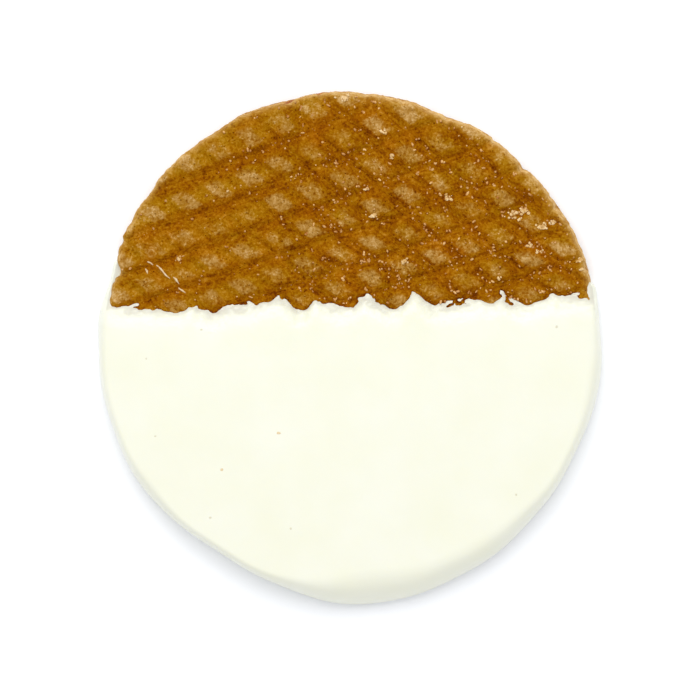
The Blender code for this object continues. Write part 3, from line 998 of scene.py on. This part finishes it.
# Sugar grains and crumb lumps on the bare wafer
grainLook = {
    "size": 0.00017,
    "spread": 0.8,
    "stretch": 1.5,
    "density": 1400000.0,  # on a square metre, where the chance is 1
    "seed": 5,
}
lumpLook = {
    "size": 0.00027,
    "spread": 0.6,
    "stretch": 0.5,
    "density": 13000000.0,
    "seed": 8,
    # place on the wafer and how wide each lump is
    "places": (
        (0.0334, 0.0254, 0.0017), (0.0355, 0.0262, 0.0012), (0.0392, 0.0232, 0.0012), (0.0409, 0.0239, 0.0011),
        (0.0200, 0.0288, 0.0010), (-0.0007, 0.0485, 0.0013), (0.0366, 0.0192, 0.0008), (0.0383, 0.0179, 0.0008),
        (0.0229, 0.0437, 0.0011), (0.0466, 0.0162, 0.0009), (0.0470, 0.0145, 0.0008), (0.0072, 0.0420, 0.0010),
        (0.0088, 0.0370, 0.0007), (0.0052, 0.0251, 0.0007), (0.0035, 0.0306, 0.0006), (-0.0240, 0.0300, 0.0006),
        (-0.0287, 0.0227, 0.0005), (-0.0337, 0.0164, 0.0006), (0.0113, 0.0160, 0.0007), (0.0301, 0.0127, 0.0007),
    ),
}


def newScatterTree(name):
    tree = bpy.data.node_groups.new(name, "GeometryNodeTree")
    sockets = {}
    for label, kind in (
        ("Surface", "NodeSocketGeometry"), ("Grain Size", "NodeSocketFloat"), ("Size Spread", "NodeSocketFloat"),
        ("Stretch", "NodeSocketFloat"), ("Density", "NodeSocketFloat"), ("Seed", "NodeSocketInt"),
        ("Material", "NodeSocketMaterial"),
    ):
        sockets[label] = tree.interface.new_socket(label, in_out="INPUT", socket_type=kind).identifier
    tree.interface.new_socket("Grains", in_out="OUTPUT", socket_type="NodeSocketGeometry")
    nodes, links = tree.nodes, tree.links
    given = nodes.new("NodeGroupInput").outputs
    chance = newNode(nodes, "GeometryNodeInputNamedAttribute", data_type="FLOAT")
    chance.inputs["Name"].default_value = "chance"
    density = mathNode(nodes, links, "MULTIPLY", chance.outputs["Attribute"], given["Density"])
    points = newNode(nodes, "GeometryNodeDistributePointsOnFaces", distribute_method="RANDOM")
    links.new(given["Surface"], points.inputs["Mesh"])
    links.new(density, points.inputs["Density"])
    links.new(given["Seed"], points.inputs["Seed"])
    grain = nodes.new("GeometryNodeMeshIcoSphere")
    grain.inputs["Subdivisions"].default_value = 1
    links.new(given["Grain Size"], grain.inputs["Radius"])
    # each grain is turned, sized and stretched by chance
    turn = newNode(nodes, "FunctionNodeRandomValue", data_type="FLOAT_VECTOR")
    turn.inputs[0].default_value = (-math.pi, -math.pi, -math.pi)
    turn.inputs[1].default_value = (math.pi, math.pi, math.pi)
    links.new(given["Seed"], turn.inputs["Seed"])
    sizes = newNode(nodes, "FunctionNodeRandomValue", data_type="FLOAT")
    links.new(mathNode(nodes, links, "SUBTRACT", 1.0, given["Size Spread"]), sizes.inputs[2])
    links.new(mathNode(nodes, links, "ADD", 1.0, given["Size Spread"]), sizes.inputs[3])
    links.new(mathNode(nodes, links, "ADD", given["Seed"], 1), sizes.inputs["Seed"])
    longer = newNode(nodes, "FunctionNodeRandomValue", data_type="FLOAT")
    longer.inputs[2].default_value = 0.0
    links.new(given["Stretch"], longer.inputs[3])
    links.new(mathNode(nodes, links, "ADD", given["Seed"], 2), longer.inputs["Seed"])
    long = mathNode(nodes, links, "MULTIPLY", mathNode(nodes, links, "ADD", longer.outputs[1], 1.0), sizes.outputs[1])
    scale = nodes.new("ShaderNodeCombineXYZ")
    links.new(long, scale.inputs[0])
    links.new(sizes.outputs[1], scale.inputs[1])
    links.new(mathNode(nodes, links, "MULTIPLY", sizes.outputs[1], 0.8), scale.inputs[2])
    placed = nodes.new("GeometryNodeInstanceOnPoints")
    links.new(points.outputs["Points"], placed.inputs["Points"])
    links.new(grain.outputs["Mesh"], placed.inputs["Instance"])
    links.new(turn.outputs[0], placed.inputs["Rotation"])
    links.new(scale.outputs[0], placed.inputs["Scale"])
    real = nodes.new("GeometryNodeRealizeInstances")
    links.new(placed.outputs["Instances"], real.inputs["Geometry"])
    painted = nodes.new("GeometryNodeSetMaterial")
    links.new(real.outputs["Geometry"], painted.inputs["Geometry"])
    links.new(given["Material"], painted.inputs["Material"])
    links.new(painted.outputs["Geometry"], nodes.new("NodeGroupOutput").inputs["Grains"])
    return tree, sockets


def scatterOn(name, field, scatter, look, material):
    tree, sockets = scatter
    modifier = field.modifiers.new("scatter", "NODES")
    modifier.node_group = tree
    for label, value in (
        ("Grain Size", look["size"]), ("Size Spread", look["spread"]), ("Stretch", look["stretch"]),
        ("Density", look["density"]), ("Seed", look["seed"]), ("Material", material),
    ):
        modifier[sockets[label]] = value
    view = bpy.context.evaluated_depsgraph_get()
    mesh = bpy.data.meshes.new_from_object(field.evaluated_get(view), depsgraph=view)
    mesh.name = name
    field.modifiers.remove(modifier)
    for attributeName in [item.name for item in mesh.attributes if item.name == "chance"]:
        mesh.attributes.remove(mesh.attributes[attributeName])
    made = bpy.data.objects.new(name, mesh)
    bpy.context.scene.collection.objects.link(made)
    bpy.data.objects.remove(field, do_unlink=True)
    return made


def bareField(name, chanceAt):
    # the bare part of the upper wafer's top, with the chance of a grain at each point
    count = 190
    across, along = discPlaces(count, np.linspace(0.0, 1.0, count + 1))
    across, along = across.ravel(), along.ravel()
    share, angle = np.hypot(across, along), angleOf(across, along)
    rim = waferReach(angle) - 0.0006 - lobeSum(angle, waferLook["notches"])
    x, y = share * rim * np.cos(np.radians(angle)), share * rim * np.sin(np.radians(angle))
    face = waferFace(x, y, 4)
    z = upperHigh.z - face["depth"]
    chance = chanceAt(x, y, face, rim * (1 - share))
    chance = chance * smoothStep(0.0001, 0.0004, z - chocolateLevel(x, y))
    places = np.stack((x + upperMiddle[0], y + upperMiddle[1], z), axis=1)
    return newMesh(name, places, gridQuads(count, count), {"chance": chance})


def sugarChance(x, y, face, inward):
    side = 0.30 + 0.70 * smoothStep(-0.022, 0.006, x)
    crowd = smoothStep(-0.35, 0.55, layeredNoise(x, y, 0.0045, 91, 2))
    return side * (0.16 + 0.84 * face["groove"]) * (0.15 + 0.85 * crowd) * smoothStep(0.0, 0.0008, inward)


def lumpChance(x, y, face, inward):
    chance = np.zeros_like(x)
    for placeX, placeY, wide in lumpLook["places"]:
        away = np.hypot(x - placeX, (y - placeY) * 1.25) / (0.75 * wide)
        chance = np.maximum(chance, np.exp(-away ** 4))
    broken = smoothStep(-0.55, 0.25, layeredNoise(x, y, 0.0009, 95, 2))
    return chance * broken


scatter = newScatterTree("grainScatter")
sugarPaint = newGrainPaint("sugarGrain", paint(172, 106, 40, 0.84), paint(240, 196, 132, 0.86), 0.45, 0.12)
lumpPaint = newGrainPaint("paleCrumb", paint(204, 160, 92, 0.90), paint(244, 218, 170, 0.90), 0.8, 0.15)
sugarGrains = scatterOn("sugarGrains", bareField("sugarField", sugarChance), scatter, grainLook, sugarPaint)
crumbLumps = scatterOn("crumbLumps", bareField("lumpField", lumpChance), scatter, lumpLook, lumpPaint)
print("grains scattered")


# Studio
studioLook = {
    "frameShare": 1.365,  # the picture's width for the biscuit's length
    "distance": 1.5,
    "worldStrength": 0.86,
    "worldColour": (0.975, 0.978, 1.0),
    "keyPlace": (-0.07, 0.59, 0.95),
    "keySize": 0.9,
    "keyPower": 8.0,
    "keyColour": (1.0, 0.985, 0.95),
    "floorSize": 3.0,
}


def newStudio():
    scene = bpy.context.scene
    scene.view_settings.view_transform = "Standard"
    world = bpy.data.worlds.new("softRoom")
    world.use_nodes = True
    world.node_tree.nodes["Background"].inputs["Color"].default_value = (*studioLook["worldColour"], 1.0)
    world.node_tree.nodes["Background"].inputs["Strength"].default_value = studioLook["worldStrength"]
    scene.world = world
    light = bpy.data.lights.new("keyLight", "AREA")
    light.shape = "SQUARE"
    light.size = studioLook["keySize"]
    light.energy = studioLook["keyPower"]
    light.color = studioLook["keyColour"]
    key = bpy.data.objects.new("keyLight", light)
    key.location = studioLook["keyPlace"]
    key.rotation_mode = "QUATERNION"
    key.rotation_quaternion = key.location.to_track_quat("Z", "Y")
    scene.collection.objects.link(key)
    half = studioLook["floorSize"] / 2
    floor = newMesh("floor", np.array(((-half, -half, 0), (half, -half, 0), (half, half, 0), (-half, half, 0))),
                    [(0, 1, 2, 3)])
    made, nodes, links, shader = newMaterial("paleFloor")
    shader.inputs["Base Color"].default_value = (0.948, 0.964, 1.0, 1.0)
    shader.inputs["Roughness"].default_value = 0.9
    shader.inputs["Specular IOR Level"].default_value = 0.1
    floor.data.materials.append(made)
    floor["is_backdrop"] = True
    lens = bpy.data.cameras.new("camera")
    camera = bpy.data.objects.new("camera", lens)
    scene.collection.objects.link(camera)
    width = studioLook["frameShare"] * (cadHigh.y - cadLow.y)
    lens.sensor_width = 36.0
    lens.lens = 36.0 * studioLook["distance"] / width
    lens.clip_end = 10.0
    camera.location = ((cadLow.x + cadHigh.x) / 2, (cadLow.y + cadHigh.y) / 2 - 0.0004, studioLook["distance"])
    scene.camera = camera


newStudio()
print("studio made")

for piece, node, slotName in (
    (upperWafer, "wafer_upper", "wafer"),
    (lowerWafer, "wafer_lower", "wafer"),
    (syrupLayer, "syrup", "syrup"),
    (whiteCoat, "white_chocolate", "white_chocolate"),
    (chocolateTrickle, None, "white_chocolate"),
    (crustSpecks, None, "wafer"),
    (sugarGrains, None, "wafer"),
    (crumbLumps, None, "wafer"),
):
    if node:
        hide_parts(node)
    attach(piece, "root")

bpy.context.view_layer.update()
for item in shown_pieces():
    print(item.name, len(item.data.polygons), "faces")
print("done")
